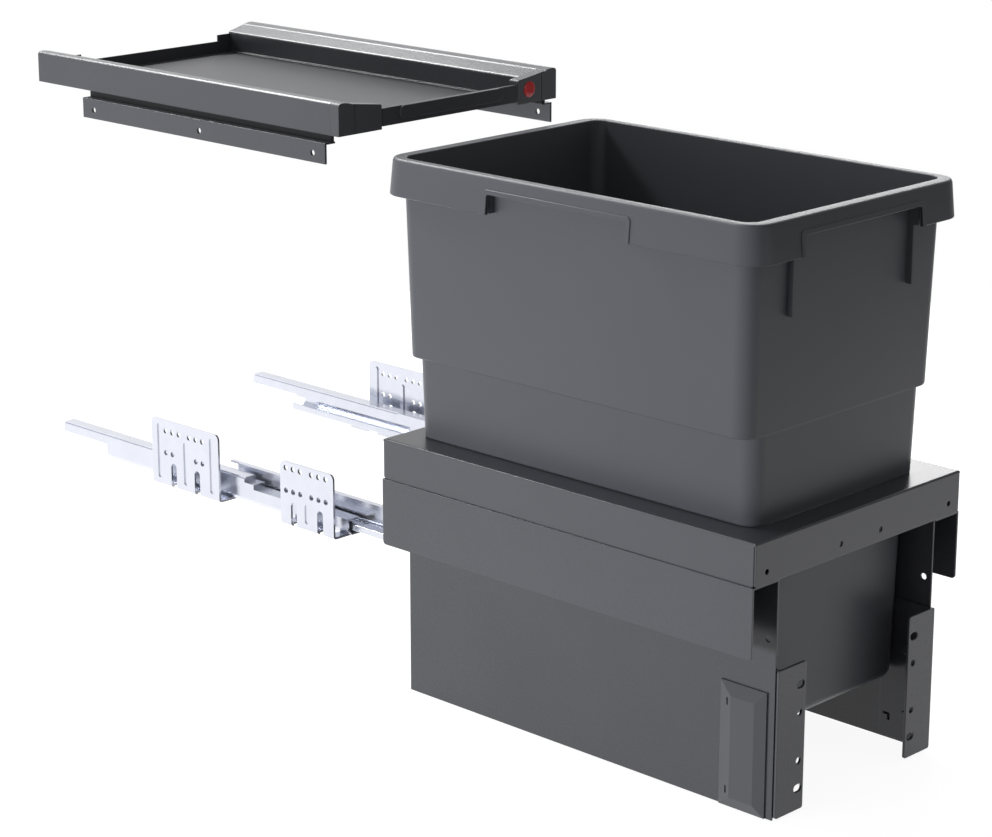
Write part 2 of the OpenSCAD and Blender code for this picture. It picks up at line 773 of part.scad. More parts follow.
module bin() {
    rib_w = 2;
    rib_low = 46.5;
    rib_x = notch_x + rib_w / 2 + 0.4;
    rib_proud = 4;
    lip = 4;
    lip_proud = 1;
    color(dark_plastic) translate([0, -travel, 0]) difference() {
        union() {
            bin_body(0, 0);
            // The skirt, open below, with its finger notches
            difference() {
                skirt_form(0, skirt_z, rim_z);
                skirt_form(-bin_t, skirt_z - 1, rim_z - bin_t);
                notches(0);
            }
            notch_cheeks();
            // A raised lip round each notch
            intersection() {
                difference() {
                    skirt_form(lip_proud, skirt_z, rim_z);
                    skirt_form(-bin_t / 2, skirt_z - 1, rim_z - bin_t);
                }
                difference() {
                    notches(lip);
                    notches(0);
                }
            }
            // Ribs under the front of the skirt
            for (x = [-rib_x, rib_x])
                translate([x - rib_w / 2, bin_y0 - bin_top_grow - rib_proud, skirt_z - rib_low])
                    cube([rib_w, bin_top_grow + rib_proud, rib_low + skirt_h / 2]);
        }
        bin_body(bin_t, bin_t + 1);
    }
}

// The L-shaped bracket that carries the cover's runner on the cabinet wall
module cover_bracket(s) {
    hole_z = runner_z - cover_bracket_h + 7.8;
    middle = runner_y + cover_bracket_l / 2;
    pitch = cover_bracket_l / 2 - cover_hole_end;
    color(dark_steel) side(s) difference() {
        union() {
            translate([plate_x, runner_y, runner_z - cover_bracket_h])
                cube([bracket_t, cover_bracket_l, cover_bracket_h]);
            translate([runner_x, runner_y, runner_z - cover_flange_t])
                cube([plate_x - runner_x + eps, cover_bracket_l, cover_flange_t]);
        }
        for (k = [-1, 0, 1])
            translate([plate_x - 1, middle + k * pitch, hole_z]) rotate([0, 90, 0])
                cylinder(d = bracket_hole_d, h = bracket_t + 2);
    }
}

// The runner with the tongue that the shelf's glides straddle
module cover_runner(s) {
    y1 = runner_y + cover_bracket_l;
    mid_x = runner_x + runner_w / 2;
    tongue_end = 3;
    color(black_plastic) side(s) {
        translate([0, 0, runner_z]) linear_extrude(runner_h)
            stadium(runner_x, runner_x + runner_w, runner_y, y1);
        translate([mid_x - tongue_w / 2, runner_y + tongue_end, runner_top - eps])
            cube([tongue_w, cover_bracket_l - 2 * tongue_end, tongue_h + eps]);
    }
}

// The sliding blocks under the shelf's side rails
module cover_glides(s) {
    glide_l = cover_bracket_l - cover_travel - 2.5 * glide_margin;
    y1 = runner_y + cover_bracket_l - glide_margin;
    mid_x = runner_x + runner_w / 2;
    slot = tongue_w + 2 * glide_play;
    x0 = runner_x - 1.6;
    x1 = cover_rail_x - tray_t;
    color(black_plastic) side(s) difference() {
        translate([x0, y1 - glide_l, cover_low]) cube([x1 - x0, glide_l, tongue_h + 3]);
        translate([mid_x - slot / 2, y1 - glide_l - 1, cover_low - 1])
            cube([slot, glide_l + 2, tongue_h + 1 + glide_play]);
    }
}

// Points on an arc round (a, b) from angle g0 to g1
function arc(a, b, r, g0, g1) = [for (i = [0 : 6]) let (g = g0 + i * (g1 - g0) / 6) [a + r * cos(g), b + r * sin(g)]];

// The outline of the shelf's side rail, from its outer foot round to its inner bend
function rail_outline(x0, x1, z0, z1) = concat(
    [[x1, z0]],
    arc(x1 - 3, z1 - 3.2, 3, 0, 84),
    [[x1 - 6.6, z1], [x1 - 13.2, z1 - 1.1], [x1 - 13.8, z1 - 1.7]],
    arc(x0 + 2, z1 - 8.05, 2, 104, 180));

module shelf_rail(s) {
    t = tray_t;
    x0 = cover_rail_in;
    x1 = cover_rail_x;
    z0 = cover_low;
    z1 = cover_high;
    color(dark_steel) side(s) along_y(cover_front + cap_d, cover_rear)
        difference() {
            polygon(concat(rail_outline(x0, x1, z0, z1), [
                [x0, tray_z + rail_foot_t], [x0 - rail_foot_w, tray_z + rail_foot_t], [x0 - rail_foot_w, tray_z],
                [x0 + t, tray_z], [x0 + t, z0]
            ]));
            polygon(concat(rail_outline(x0 + t, x1 - t, z0 - 1, z1 - t), [[x0 + t, z0 - 1]]));
        }
}

// The caps that close the front ends of the side rails
module shelf_end_cap(s) {
    x0 = cover_rail_in - 16;
    groove_x = cover_rail_x - 18.6;
    groove = 0.6;
    color(dark_plastic) side(s) difference() {
        along_y(cover_front, cover_front + cap_d - eps)
            polygon(concat(rail_outline(x0, cover_rail_x, cover_low, cover_high), [[x0, cover_low]]));
        translate([groove_x, cover_front - 1, cover_low - 1]) cube([groove, 1 + groove, cover_rail_h]);
    }
}

// The plain round cap in the right end cap
module end_cap_disc() {
    color(red_plastic) translate([cover_rail_in - 1.3, cover_front - 1, cover_low + 12]) rotate([-90, 0, 0])
        cylinder(d = disc_d, h = 1);
}

// The shelf's tray: a sheet with a rear wall and a front lip with a long grip
module cover_tray() {
    t = tray_t;
    base_x = runner_x - 2.2;
    wall_h = 11;
    upstand = 6;
    upstand_w = 15;
    grip_h = 11;
    color(dark_steel) {
        translate([-base_x, cover_front + cap_d, tray_z - t])
            cube([2 * base_x, cover_d - cap_d, t]);
        // The step up to the front lip
        translate([-lip_x, cover_front, front_lip_low]) cube([2 * lip_x, cap_d + t, t]);
        translate([-lip_x, cover_front + cap_d, tray_z - t]) cube([2 * lip_x, t, front_lip_low + t - tray_z + t]);
        // Rear wall between the side rails, with a raised tab at each end
        difference() {
            union() {
                translate([-cover_rail_in, cover_rear - t, tray_z - t])
                    cube([2 * cover_rail_in, t, wall_h + t]);
                for (x = [-cover_rail_in, cover_rail_in - upstand_w])
                    translate([x, cover_rear - t, tray_z]) cube([upstand_w, t, wall_h + upstand]);
            }
            for (x = [-cover_rail_in - 1, cover_rail_in - rail_foot_w])
                translate([x, cover_rear - t - 1, tray_z]) cube([rail_foot_w + 1, t + 2, rail_foot_t]);
        }
        // Front lip
        translate([-lip_x, cover_front, front_lip_low]) cube([2 * lip_x, 2 * t, front_lip_top - front_lip_low]);
        along_y(cover_front - 2, cover_front + eps)
            round_rect(-grip_x, grip_x, front_lip_top - grip_h, front_lip_top, grip_h / 2 - 0.5);
    }
}

front_bracket(-1);  // front_bracket_left
front_bracket(1);  // front_bracket_right
rear_bracket(-1);  // rear_bracket_left
rear_bracket(1);  // rear_bracket_right
cabinet_rail(-1);  // cabinet_rail_left
cabinet_rail(1);  // cabinet_rail_right
closing_unit(-1);  // closing_unit_left
closing_unit(1);  // closing_unit_right
cover_bracket(-1);  // cover_bracket_left
cover_bracket(1);  // cover_bracket_right
cover_runner(-1);  // cover_runner_left
cover_runner(1);  // cover_runner_right
lower_ball_cage(-1);  // lower_ball_cage_left
lower_ball_cage(1);  // lower_ball_cage_right
lower_balls(-1);  // lower_balls_left
lower_balls(1);  // lower_balls_right
middle_rail(-1);  // middle_rail_left
middle_rail(1);  // middle_rail_right
upper_ball_cage(-1);  // upper_ball_cage_left
upper_ball_cage(1);  // upper_ball_cage_right
upper_balls(-1);  // upper_balls_left
upper_balls(1);  // upper_balls_right
drawer_rail(-1);  // drawer_rail_left
drawer_rail(1);  // drawer_rail_right
rail_rivets(-1);  // rail_rivets_left
rail_rivets(1);  // rail_rivets_right
top_frame();
side_band(-1);  // side_band_left
side_band(1);  // side_band_right
side_panel(-1);  // side_panel_left
side_panel(1);  // side_panel_right
adjuster_cover(-1);  // adjuster_cover_left
adjuster_cover(1);  // adjuster_cover_right
clamp_screws(-1);  // clamp_screws_left
clamp_screws(1);  // clamp_screws_right
front_angle(-1);  // front_angle_left
front_angle(1);  // front_angle_right
bin();
cover_tray();
shelf_rail(-1);  // shelf_rail_left
shelf_rail(1);  // shelf_rail_right
shelf_end_cap(-1);  // shelf_end_cap_left
shelf_end_cap(1);  // shelf_end_cap_right
end_cap_disc();
cover_glides(-1);  // cover_glides_left
cover_glides(1);  // cover_glides_right
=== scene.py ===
import json
import math

import bmesh
import bpy
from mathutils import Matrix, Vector


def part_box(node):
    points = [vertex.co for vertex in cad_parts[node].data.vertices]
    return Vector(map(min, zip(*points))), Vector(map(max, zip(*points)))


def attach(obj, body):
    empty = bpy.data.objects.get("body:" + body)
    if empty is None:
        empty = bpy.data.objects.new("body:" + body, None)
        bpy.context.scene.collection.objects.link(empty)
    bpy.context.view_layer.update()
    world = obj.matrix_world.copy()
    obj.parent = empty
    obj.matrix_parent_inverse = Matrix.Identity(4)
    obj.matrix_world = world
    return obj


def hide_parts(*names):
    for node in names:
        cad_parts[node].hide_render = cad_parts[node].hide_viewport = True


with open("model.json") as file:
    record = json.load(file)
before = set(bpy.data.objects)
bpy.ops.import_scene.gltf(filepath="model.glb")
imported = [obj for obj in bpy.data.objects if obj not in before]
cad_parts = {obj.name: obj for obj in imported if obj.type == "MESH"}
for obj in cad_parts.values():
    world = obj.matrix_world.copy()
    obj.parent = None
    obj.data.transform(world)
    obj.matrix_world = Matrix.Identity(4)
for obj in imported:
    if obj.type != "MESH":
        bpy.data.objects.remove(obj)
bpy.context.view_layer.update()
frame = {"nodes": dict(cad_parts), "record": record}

# Camera, fitted to the photograph's edges; lengths are in metres all through this script
CAMERA_PLACE = Vector((-1.7054, -1.6984, 0.7462))
CAMERA_AZIMUTH = math.radians(-45.98)
CAMERA_ELEVATION = math.radians(16.14)
CAMERA_LENS = 104.65
SENSOR_WIDTH = 36.0
CLIP_START = 0.05
CLIP_END = 60.0

# Relief of the coats and plastics (grain) and of the zinc (lines): its height and its strength
GRAIN_HEIGHT = 0.00004
GRAIN_STRENGTH = 0.35
LINE_HEIGHT = 0.00002
LINE_STRENGTH = 0.25

# How far the roughness varies with the grain, and the radius to which sheet folds are shaded
ROUGHNESS_PLAY = 0.05
FOLD_RADIUS = 0.0011
FOLD_SAMPLES = 6


def new_material(name):
    """A node material, its tree and its shader."""
    mat = bpy.data.materials.new(name)
    mat.use_nodes = True
    return mat, mat.node_tree, mat.node_tree.nodes["Principled BSDF"]


def noise(tree, scale, detail, stretch=(1, 1, 1)):
    """Noise in the object's own space, in cycles per metre, stretched along its axes."""
    coords = tree.nodes.new("ShaderNodeTexCoord")
    mapping = tree.nodes.new("ShaderNodeMapping")
    mapping.inputs["Scale"].default_value = stretch
    texture = tree.nodes.new("ShaderNodeTexNoise")
    texture.inputs["Scale"].default_value = scale
    texture.inputs["Detail"].default_value = detail
    tree.links.new(coords.outputs["Object"], mapping.inputs["Vector"])
    tree.links.new(mapping.outputs["Vector"], texture.inputs["Vector"])
    return texture.outputs["Fac"]


def tint(tree, shader, colour, value, places, factors):
    """Colours the shader between two tints of a colour, as a value goes from one place to the other."""
    node = tree.nodes.new("ShaderNodeValToRGB")
    for element, place, factor in zip(node.color_ramp.elements, places, factors):
        element.position = place
        element.color = (*(channel * factor for channel in colour), 1)
    tree.links.new(value, node.inputs["Fac"])
    tree.links.new(node.outputs["Color"], shader.inputs["Base Color"])


def spread(tree, value, low, high, start=0.0, end=1.0):
    """A value that goes from start to end, mapped to the range low to high."""
    node = tree.nodes.new("ShaderNodeMapRange")
    node.inputs["From Min"].default_value = start
    node.inputs["From Max"].default_value = end
    node.inputs["To Min"].default_value = low
    node.inputs["To Max"].default_value = high
    tree.links.new(value, node.inputs["Value"])
    return node.outputs["Result"]


def bump(tree, shader, height, distance, strength, fold=0.0):
    """A bump from a height, over edges that are shaded as if folded to a radius."""
    node = tree.nodes.new("ShaderNodeBump")
    node.inputs["Distance"].default_value = distance
    node.inputs["Strength"].default_value = strength
    tree.links.new(height, node.inputs["Height"])
    tree.links.new(node.outputs["Normal"], shader.inputs["Normal"])
    if fold > 0:
        soft = tree.nodes.new("ShaderNodeBevel")
        soft.samples = FOLD_SAMPLES
        soft.inputs["Radius"].default_value = fold
        tree.links.new(soft.outputs["Normal"], node.inputs["Normal"])


def grained(name, colour, roughness, gloss, cloud, factors, grain, fold=0.0):
    """A matt surface with faint clouds and a fine grain; each of the two is a noise scale and detail."""
    mat, tree, shader = new_material(name)
    shader.inputs["Specular IOR Level"].default_value = gloss
    tint(tree, shader, colour, noise(tree, *cloud), places=(0.3, 0.7), factors=factors)
    relief = noise(tree, *grain)
    rough = spread(tree, relief, roughness - ROUGHNESS_PLAY, roughness + ROUGHNESS_PLAY)
    tree.links.new(rough, shader.inputs["Roughness"])
    bump(tree, shader, relief, GRAIN_HEIGHT, GRAIN_STRENGTH, fold)
    return mat


def powder_coat(name, colour, roughness=0.28, gloss=0.5):
    """Fine-textured powder coat on folded sheet steel."""
    return grained(name, colour, roughness, gloss, cloud=(9.0, 3.0), factors=(0.95, 1.05),
                   grain=(2600.0, 2.0), fold=FOLD_RADIUS)


def moulded_plastic(name, colour, roughness, gloss=0.5):
    """Moulded plastic with a fine spark-eroded grain."""
    return grained(name, colour, roughness, gloss, cloud=(6.0, 2.0), factors=(0.96, 1.04),
                   grain=(1500.0, 3.0))


def zinc_plate(name, colour):
    """Bright zinc plating with rolling lines along the sheet."""
    mat, tree, shader = new_material(name)
    shader.inputs["Metallic"].default_value = 0.9
    cloud = noise(tree, scale=60.0, detail=4.0)
    tint(tree, shader, colour, cloud, places=(0.35, 0.65), factors=(0.96, 1.0))
    lines = noise(tree, scale=900.0, detail=3.0, stretch=(1.0, 0.04, 1.0))
    tree.links.new(spread(tree, lines, low=0.16, high=0.24), shader.inputs["Roughness"])
    bump(tree, shader, lines, LINE_HEIGHT, LINE_STRENGTH)
    return mat


def polished_steel(name, colour):
    """Polished bearing steel."""
    mat, tree, shader = new_material(name)
    shader.inputs["Metallic"].default_value = 1.0
    cloud = noise(tree, scale=300.0, detail=2.0)
    tint(tree, shader, colour, cloud, places=(0.3, 0.7), factors=(0.95, 1.0))
    tree.links.new(spread(tree, cloud, low=0.12, high=0.2), shader.inputs["Roughness"])
    return mat


SLOTS = {
    "tray_coat": powder_coat("tray_coat", (0.080, 0.082, 0.090), roughness=0.42, gloss=0.2),
    # The side panels' coat is the dark coat darkened: painted shade that stands in for the shadow under the
    # band above them
    "panel_coat_painted_shade": powder_coat("panel_coat_painted_shade", (0.071, 0.074, 0.084)),
    "dark_coated_steel": powder_coat("coated_steel", (0.084, 0.087, 0.100)),
    "bin_plastic": moulded_plastic("bin_plastic", (0.098, 0.102, 0.117), roughness=0.42, gloss=0.4),
    "dark_plastic": moulded_plastic("dark_plastic", (0.084, 0.087, 0.098), roughness=0.42),
    "black_plastic": moulded_plastic("black_plastic", (0.012, 0.012, 0.014), roughness=0.45, gloss=0.25),
    "zinc_steel": zinc_plate("zinc_steel", (0.685, 0.705, 0.775)),
    "ball_steel": polished_steel("ball_steel", (0.72, 0.73, 0.76)),
    "red_plastic": moulded_plastic("red_plastic", (0.88, 0.03, 0.035), roughness=0.2),
}

# Nodes whose surface differs from their slot's; the side panels take the dark coat made darker, as painted
# shade for the shadow under the band
OWN_SLOTS = {
    "cover_tray": "tray_coat",
    "side_panel_left": "panel_coat_painted_shade",
    "side_panel_right": "panel_coat_painted_shade",
    "clamp_screws_left": "dark_coated_steel",
    "clamp_screws_right": "dark_coated_steel",
}

# The round on the CAD nodes' sharp edges
EDGE_ROUND = 0.0004
EDGE_SEGMENTS = 2
SHARP_ANGLE = math.radians(35)


def round_edges(piece):
    """A small round on the sharp edges, which catches the light as a pressed or moulded edge does."""
    bevel = piece.modifiers.new("edges", "BEVEL")
    bevel.width = EDGE_ROUND
    bevel.segments = EDGE_SEGMENTS
    bevel.limit_method = "ANGLE"
    bevel.angle_limit = SHARP_ANGLE
    bevel.use_clamp_overlap = True
    bevel.harden_normals = True


def dress_nodes():
    """Gives every CAD node its material and a small round on its edges."""
    for part in frame["record"]["subparts"]:
        piece = frame["nodes"][part["node"]]
        slot = OWN_SLOTS.get(part["node"], part["material_slot"])
        piece.data.materials.clear()
        piece.data.materials.append(SLOTS[slot])
        round_edges(piece)


dress_nodes()

# Points of a loft that lie closer than this become one
MERGE_DISTANCE = 1e-6


def between(a, b, share):
    """The value at a share of the way from a to b."""
    return a + (b - a) * share


def arc(x, y, r, first, last, steps):
    """Points round a centre, from one angle in degrees to another."""
    points = []
    for i in range(steps + 1):
        angle = math.radians(first + (last - first) * i / steps)
        points.append((x + r * math.cos(angle), y + r * math.sin(angle)))
    return points


def new_object(name, data):
    """An object in the scene."""
    piece = bpy.data.objects.new(name, data)
    bpy.context.scene.collection.objects.link(piece)
    return piece


def discard(piece):
    """Removes a helper piece and its mesh."""
    mesh = piece.data
    bpy.data.objects.remove(piece)
    bpy.data.meshes.remove(mesh)


def loft(name, rings):
    """A closed mesh through rings of the same number of points, capped at both ends."""
    mesh = bpy.data.meshes.new(name)
    work = bmesh.new()
    rows = [[work.verts.new(point) for point in ring] for ring in rings]
    count = len(rows[0])
    for low, high in zip(rows, rows[1:]):
        for i in range(count):
            j = (i + 1) % count
            work.faces.new((low[i], low[j], high[j], high[i]))
    work.faces.new(list(reversed(rows[0])))
    work.faces.new(rows[-1])
    bmesh.ops.remove_doubles(work, verts=work.verts, dist=MERGE_DISTANCE)
    bmesh.ops.recalc_face_normals(work, faces=work.faces)
    work.to_mesh(mesh)
    work.free()
    return new_object(name, mesh)


def prism(name, outline, place):
    """A solid between two copies of an outline; place(u, v, w) gives a point, and w is 0 or 1."""
    return loft(name, [[place(u, v, w) for u, v in outline] for w in (0, 1)])


def block(x0, x1, y0, y1, z0, z1):
    """A small upright block of the bin's moulding."""
    outline = [(x0, y0), (x1, y0), (x1, y1), (x0, y1)]
    return prism("block", outline, lambda u, v, w: (u, v, between(z0, z1, w)))


def join(pieces):
    """Joins mesh pieces into the first one."""
    work = bmesh.new()
    for piece in pieces:
        work.from_mesh(piece.data)
    work.to_mesh(pieces[0].data)
    work.free()
    for piece in pieces[1:]:
        discard(piece)


def apply_modifiers(piece):
    """Turns a piece's modifiers into its mesh."""
    graph = bpy.context.evaluated_depsgraph_get()
    mesh = bpy.data.meshes.new_from_object(piece.evaluated_get(graph))
    old = piece.data
    piece.modifiers.clear()
    piece.data = mesh
    bpy.data.meshes.remove(old)


def smooth(piece, angle):
    """Smooth shading that breaks at edges sharper than an angle in degrees."""
    piece.data.shade_smooth()
    piece.data.set_sharp_from_angle(angle=math.radians(angle))


# The bin, with the frame pulled out: heights of its floor, shoulders, rim and skirt
BIN_FLOOR = -0.1035
FRAME_TOP = 0.0685
STEP_Z = 0.1395
RIM_Z = 0.3045
SKIRT_Z = 0.2745
BIN_WALL = 0.0022
DRAFT = math.tan(math.radians(1.3))
RIM_GROW = (RIM_Z - FRAME_TOP) * DRAFT

# Half widths of its three stages, at their lower and upper ends
LOWER_X = (0.09155, 0.0935)
MIDDLE_X = (0.1035, 0.10511)
UPPER_X = (0.11611, 0.11986)

# Its front and rear, at the frame's top and at the rim
BIN_FRONT = -0.416
BIN_REAR = -0.061
RIM_FRONT = BIN_FRONT - RIM_GROW
RIM_REAR = BIN_REAR + RIM_GROW

# The body's rounds: upright corners, foot, shoulders outside and inside
CORNER_R = 0.014
LEAST_CORNER_R = 0.003
CORNER_STEPS = 8
FOOT_R = 0.010
FOOT_STEPS = 6
SHOULDER_R = 0.0015
SHOULDER_INSIDE_R = 0.0005
SHOULDER_STEPS = 4

# The skirt round the rim
SKIRT_OUT_Y = 0.0125
SKIRT_X = 0.12936
SKIRT_FRONT = RIM_FRONT - SKIRT_OUT_Y
SKIRT_REAR = RIM_REAR + SKIRT_OUT_Y
SKIRT_R = 0.023
SKIRT_TAPER = 0.0028
SLOPE = SKIRT_TAPER / (RIM_Z - SKIRT_Z)
SKIRT_EDGE = 0.0005
SKIRT_INNER_EDGE = 0.0004
UNDER_BEVEL = 0.002
RIM_ROUND = 0.0024
RIM_STEPS = 6
MOUTH_ROUND = 0.0010
MOUTH_STEPS = 4
BIN_SMOOTH_ANGLE = 38

# The finger notches in the skirt's front and sides
NOTCH_H = 0.016
NOTCH_TOP = SKIRT_Z + NOTCH_H
NOTCH_X = 0.6 * UPPER_X[1]
NOTCH_MID = (BIN_FRONT + BIN_REAR) / 2 + 0.002
NOTCH_HALF = 0.204 * (BIN_REAR - BIN_FRONT)
NOTCH_R = 0.0015
NOTCH_STEPS = 4

# Where the notches' cutters start and end: below the skirt, off the wall, and beyond the skirt
CUT_LOW = SKIRT_Z - 0.01
CUT_SIDE_NEAR = UPPER_X[1] + 0.0015
CUT_SIDE_FAR = 0.15
CUT_FRONT_NEAR = RIM_FRONT - 0.0025
CUT_FRONT_FAR = -0.45

# The raised lips round the notches
LIP_LOW = SKIRT_Z + 0.0002
LIP_WIDTH = 0.004
LIP_PROUD = 0.001
LIP_SUNK = 0.0008
SOFT_EDGE = 0.0004

# The cheeks that close the skirt beside the notches, and how far they go into the walls
CHEEK_T = 0.002
CHEEK_BACK = 0.00015
CHEEK_LOW = SKIRT_Z + 0.0003
CHEEK_TOP = RIM_Z - BIN_WALL - 0.0005
CHEEK_SHORT = 0.0045
SIDE_WALL_SINK = 0.001
FRONT_WALL_SINK = 0.0012

# The upright ribs beside the front notch
RIB_WIDTH = 0.002
RIB_PROUD = 0.004
RIB_LOW = SKIRT_Z - 0.0465
RIB_GAP = 0.0004


def rounded_ring(half, y0, y1, r, z):
    """The points of a rounded rectangle, seen from above, at one height."""
    corners = [(half - r, y1 - r, 0), (-half + r, y1 - r, 90),
               (-half + r, y0 + r, 180), (half - r, y0 + r, 270)]
    points = []
    for x, y, start in corners:
        points.extend(arc(x, y, r, start, start + 90, CORNER_STEPS))
    return [(x, y, z) for x, y in points]


def body_ring(half, z, back):
    """A ring of the bin's body, with its front and rear moved in."""
    grow = (z - FRAME_TOP) * DRAFT
    r = max(CORNER_R - back, LEAST_CORNER_R)
    return rounded_ring(half, BIN_FRONT - grow + back, BIN_REAR + grow - back, r, z)


def skirt_ring(back, z):
    """A ring of the skirt, moved in from the outside of its lower edge."""
    return rounded_ring(SKIRT_X - back, SKIRT_FRONT + back, SKIRT_REAR - back, SKIRT_R - back, z)


def body_rings(inset):
    """The body from its floor up: its outside with no inset, its inside with the wall's."""
    rings = []
    low = BIN_FLOOR + inset
    for half, z in arc(LOWER_X[0] - FOOT_R, low + FOOT_R, FOOT_R, -90, 0, FOOT_STEPS):
        rings.append(body_ring(half - inset, z, LOWER_X[0] - half + inset))
    inner = SHOULDER_R + inset
    outer = SHOULDER_INSIDE_R if inset > 0 else SHOULDER_R
    shoulders = ((LOWER_X[1], MIDDLE_X[0], FRAME_TOP), (MIDDLE_X[1], UPPER_X[0], STEP_Z))
    for x_below, x_above, shoulder_z in shoulders:
        level = shoulder_z + inset
        bends = arc(x_below - inset + inner, level - inner, inner, 180, 90, SHOULDER_STEPS)
        bends += arc(x_above - inset - outer, level + outer, outer, 270, 360, SHOULDER_STEPS)
        rings.extend(body_ring(half, z, inset) for half, z in bends)
    return rings


def bin_rings():
    """The whole bin as one closed run of rings: outside, under and over the skirt, and down inside."""
    rings = body_rings(0.0)
    under = RIM_Z - BIN_WALL
    for z in (SKIRT_Z, under - UNDER_BEVEL):
        half = between(*UPPER_X, (z - STEP_Z) / (RIM_Z - STEP_Z))
        rings.append(body_ring(half, z, 0.0))
    rim_top = RIM_Z - RIM_ROUND
    rim_run = [
        (SKIRT_TAPER + BIN_WALL + UNDER_BEVEL, under),
        (SKIRT_TAPER + BIN_WALL, under - UNDER_BEVEL),
        (BIN_WALL, SKIRT_Z + SKIRT_INNER_EDGE),
        (BIN_WALL - SKIRT_EDGE, SKIRT_Z),
        (SKIRT_EDGE, SKIRT_Z),
        (0.0, SKIRT_Z + SKIRT_EDGE),
        (SLOPE * (rim_top - SKIRT_Z), rim_top),
    ]
    rim_run += arc(SKIRT_TAPER + RIM_ROUND, rim_top, RIM_ROUND, 180, 90, RIM_STEPS)[1:]
    rings.extend(skirt_ring(back, z) for back, z in rim_run)
    for out, z in arc(MOUTH_ROUND, RIM_Z - MOUTH_ROUND, MOUTH_ROUND, 90, 180, MOUTH_STEPS):
        back = BIN_WALL - out
        rings.append(rounded_ring(UPPER_X[1] - back, RIM_FRONT + back, RIM_REAR - back, CORNER_R - back, z))
    rings.extend(reversed(body_rings(BIN_WALL)))
    return rings


def notch_outline(half, top, r, low):
    """The outline of a notch: up one side, round two corners and down the other side."""
    left = arc(-half + r, top - r, r, 180, 90, NOTCH_STEPS)
    right = arc(half - r, top - r, r, 90, 0, NOTCH_STEPS)
    return [(-half, low)] + left + right + [(half, low)]


def cut_notches(piece):
    """Cuts the three finger notches out of the skirt."""
    sides = notch_outline(NOTCH_HALF, NOTCH_TOP, NOTCH_R, CUT_LOW)
    front = notch_outline(NOTCH_X, NOTCH_TOP, NOTCH_R, CUT_LOW)
    cutters = [
        prism("cut", sides, lambda u, v, w: (between(CUT_SIDE_NEAR, CUT_SIDE_FAR, w), NOTCH_MID + u, v)),
        prism("cut", sides, lambda u, v, w: (-between(CUT_SIDE_NEAR, CUT_SIDE_FAR, w), NOTCH_MID + u, v)),
        prism("cut", front, lambda u, v, w: (u, between(CUT_FRONT_NEAR, CUT_FRONT_FAR, w), v)),
    ]
    for cutter in cutters:
        tool = piece.modifiers.new("notch", "BOOLEAN")
        tool.operation = "DIFFERENCE"
        tool.solver = "EXACT"
        tool.object = cutter
    apply_modifiers(piece)
    for cutter in cutters:
        discard(cutter)


def notch_lip(half, face):
    """A raised lip round a notch; face(u, v, w) gives a point w outside the skirt's face."""
    inner = notch_outline(half, NOTCH_TOP, NOTCH_R, LIP_LOW)
    outer = notch_outline(half + LIP_WIDTH, NOTCH_TOP + LIP_WIDTH, NOTCH_R + LIP_WIDTH / 2, LIP_LOW)
    soft = SOFT_EDGE / LIP_WIDTH
    shy = LIP_PROUD - SOFT_EDGE
    section = [(0.0, -LIP_SUNK), (0.0, shy), (soft, LIP_PROUD),
               (1 - soft, LIP_PROUD), (1.0, shy), (1.0, -LIP_SUNK)]
    rings = []
    for (u0, v0), (u1, v1) in zip(inner, outer):
        rings.append([face(between(u0, u1, share), between(v0, v1, share), w) for share, w in section])
    return loft("lip", rings)


def rib(x):
    """An upright rib under the front of the skirt, with soft edges."""
    half = RIB_WIDTH / 2
    wall = RIM_FRONT + FRONT_WALL_SINK
    proud = RIM_FRONT - RIB_PROUD
    outline = [(x - half, wall), (x + half, wall),
               (x + half, proud + SOFT_EDGE), (x + half - SOFT_EDGE, proud),
               (x - half + SOFT_EDGE, proud), (x - half, proud + SOFT_EDGE)]
    return prism("rib", outline, lambda u, v, w: (u, v, between(RIB_LOW, NOTCH_TOP, w)))


def side_face(side):
    """The skirt's left or right face, as notch_lip takes it."""
    return lambda u, v, w: (side * (SKIRT_X - (v - SKIRT_Z) * SLOPE + w), NOTCH_MID + u, v)


def front_face(u, v, w):
    """The skirt's front face, as notch_lip takes it."""
    return (u, SKIRT_FRONT + (v - SKIRT_Z) * SLOPE - w, v)


def bin_details():
    """The lips, cheeks and ribs of the bin."""
    parts = [notch_lip(NOTCH_HALF, side_face(side)) for side in (-1, 1)]
    parts.append(notch_lip(NOTCH_X, front_face))
    for y in (NOTCH_MID - NOTCH_HALF - CHEEK_BACK - CHEEK_T, NOTCH_MID + NOTCH_HALF + CHEEK_BACK):
        for side in (-1, 1):
            x0, x1 = sorted((side * (UPPER_X[1] - SIDE_WALL_SINK), side * (SKIRT_X - CHEEK_SHORT)))
            parts.append(block(x0, x1, y, y + CHEEK_T, CHEEK_LOW, CHEEK_TOP))
    for x in (-NOTCH_X - CHEEK_BACK - CHEEK_T, NOTCH_X + CHEEK_BACK):
        y0 = SKIRT_FRONT + CHEEK_SHORT
        parts.append(block(x, x + CHEEK_T, y0, RIM_FRONT + FRONT_WALL_SINK, CHEEK_LOW, CHEEK_TOP))
    rib_x = NOTCH_X + RIB_WIDTH / 2 + RIB_GAP
    parts.extend(rib(x) for x in (-rib_x, rib_x))
    return parts


def make_bin():
    """The bin: a smooth moulding with its skirt, notches and ribs."""
    piece = loft("waste_container", bin_rings())
    cut_notches(piece)
    join([piece] + bin_details())
    smooth(piece, BIN_SMOOTH_ANGLE)
    piece.data.materials.append(SLOTS["bin_plastic"])
    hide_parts("bin")
    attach(piece, "waste_bin")


make_bin()

# The red disc: share of its depth that is dome, its edge's round and the ring at its tip
DISC_STEPS = 48
DOME_RINGS = 8
DOME_SHARE = 0.6
DISC_EDGE = 0.0003
DOME_TIP_R = 0.0002
DISC_SMOOTH_ANGLE = 50


